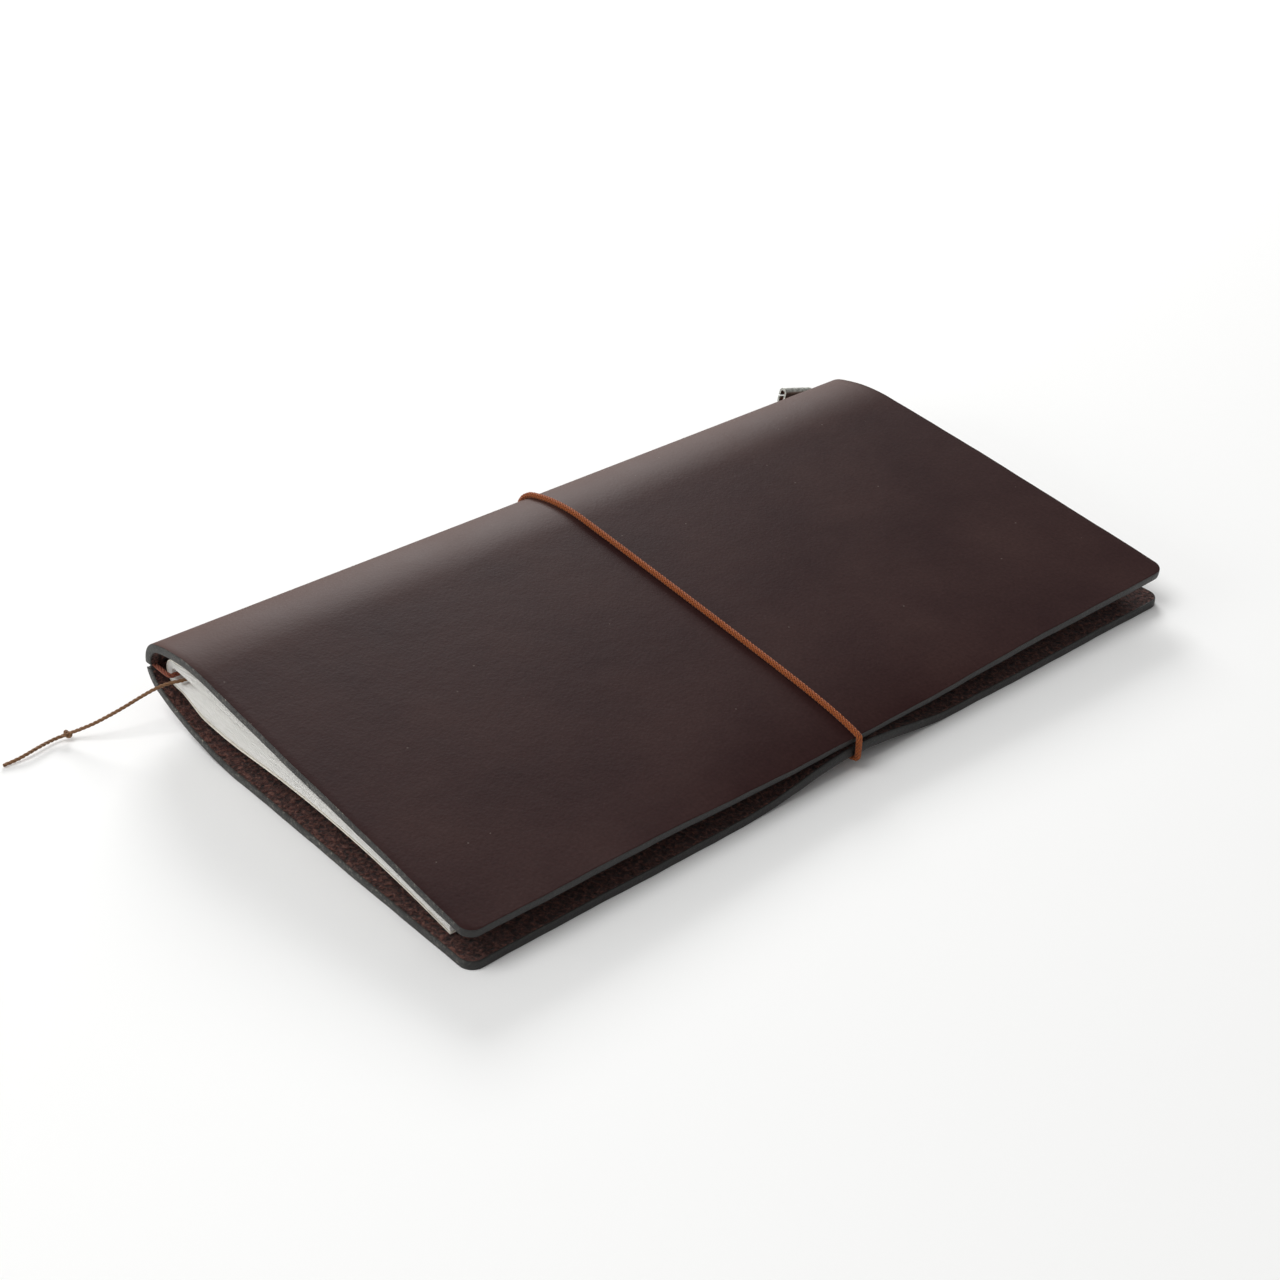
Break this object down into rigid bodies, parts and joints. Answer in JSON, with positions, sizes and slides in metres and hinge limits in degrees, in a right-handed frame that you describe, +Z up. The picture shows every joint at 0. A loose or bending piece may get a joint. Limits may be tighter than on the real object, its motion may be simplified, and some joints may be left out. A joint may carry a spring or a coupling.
{
  "type": "leather notebook cover",
  "caption": "Folded leather notebook cover with a paper refill, an elastic closing cord, a tin spine clip and a knotted bookmark string.",
  "frame": {"origin": "on the ground under the middle of the closed cover, the free end of the bookmark left out", "axes": "+X from the spine to the fore-edge, +Y from the tail to the head, +Z up through the front cover"},
  "size_m": [0.1259, 0.2573, 0.0226],
  "materials": {
    "leather": "smooth vegetable-tanned grain side, raw suede flesh side",
    "paper": "matt uncoated writing paper",
    "card": "matt card",
    "closing_cord": "braided elastic cord",
    "holding_cord": "braided elastic cord",
    "tin": "dull tumbled tin",
    "steel_wire": "bright staple wire",
    "bookmark_cord": "waxed cotton cord"
  },
  "bodies": {
    "back_cover": {"sheet_01_back_leaf": "paper", "sheet_02_back_leaf": "paper", "sheet_03_back_leaf": "paper", "sheet_04_back_leaf": "paper", "sheet_05_back_leaf": "paper", "sheet_06_back_leaf": "paper", "sheet_07_back_leaf": "paper", "sheet_08_back_leaf": "paper", "sheet_09_back_leaf": "paper", "sheet_10_back_leaf": "paper", "sheet_11_back_leaf": "paper", "sheet_12_back_leaf": "paper", "sheet_13_back_leaf": "paper", "sheet_14_back_leaf": "paper", "sheet_15_back_leaf": "paper", "sheet_16_back_leaf": "paper", "back_cover_leather": "leather", "refill_card_back": "card", "bookmark_held": "bookmark_cord", "bookmark_cord": "bookmark_cord", "bookmark_knot": "bookmark_cord"},
    "spine": {"closure_elastic": "closing_cord", "closure_elastic_knot": "closing_cord", "refill_card_fold": "card", "refill_elastic": "holding_cord", "sheet_folds": "paper", "spine_clip": "tin", "spine_leather": "leather", "staples": "steel_wire"},
    "front_cover": {"sheet_01_front_leaf": "paper", "sheet_02_front_leaf": "paper", "sheet_03_front_leaf": "paper", "sheet_04_front_leaf": "paper", "sheet_05_front_leaf": "paper", "sheet_06_front_leaf": "paper", "sheet_07_front_leaf": "paper", "sheet_08_front_leaf": "paper", "sheet_09_front_leaf": "paper", "sheet_10_front_leaf": "paper", "sheet_11_front_leaf": "paper", "sheet_12_front_leaf": "paper", "sheet_13_front_leaf": "paper", "sheet_14_front_leaf": "paper", "sheet_15_front_leaf": "paper", "sheet_16_front_leaf": "paper", "front_cover_leather": "leather", "refill_card_front": "card"}
  },
  "joints": [
    {"name": "spine_fold", "type": "hinge", "parent": "back_cover", "child": "spine", "pos_m": [-0.05665, 0, 0.0041], "axis": [0, -1, 0], "range_deg": [0, 90], "deforming": ["closure_elastic"]},
    {"name": "front_fold", "type": "hinge", "parent": "spine", "child": "front_cover", "pos_m": [-0.0565, 0, 0.0207], "axis": [0, -1, 0], "range_deg": [0, 97]}
  ],
  "couplings": [
    {"joint": "front_fold", "follows": "spine_fold", "ratio": 1.0778}
  ]
}
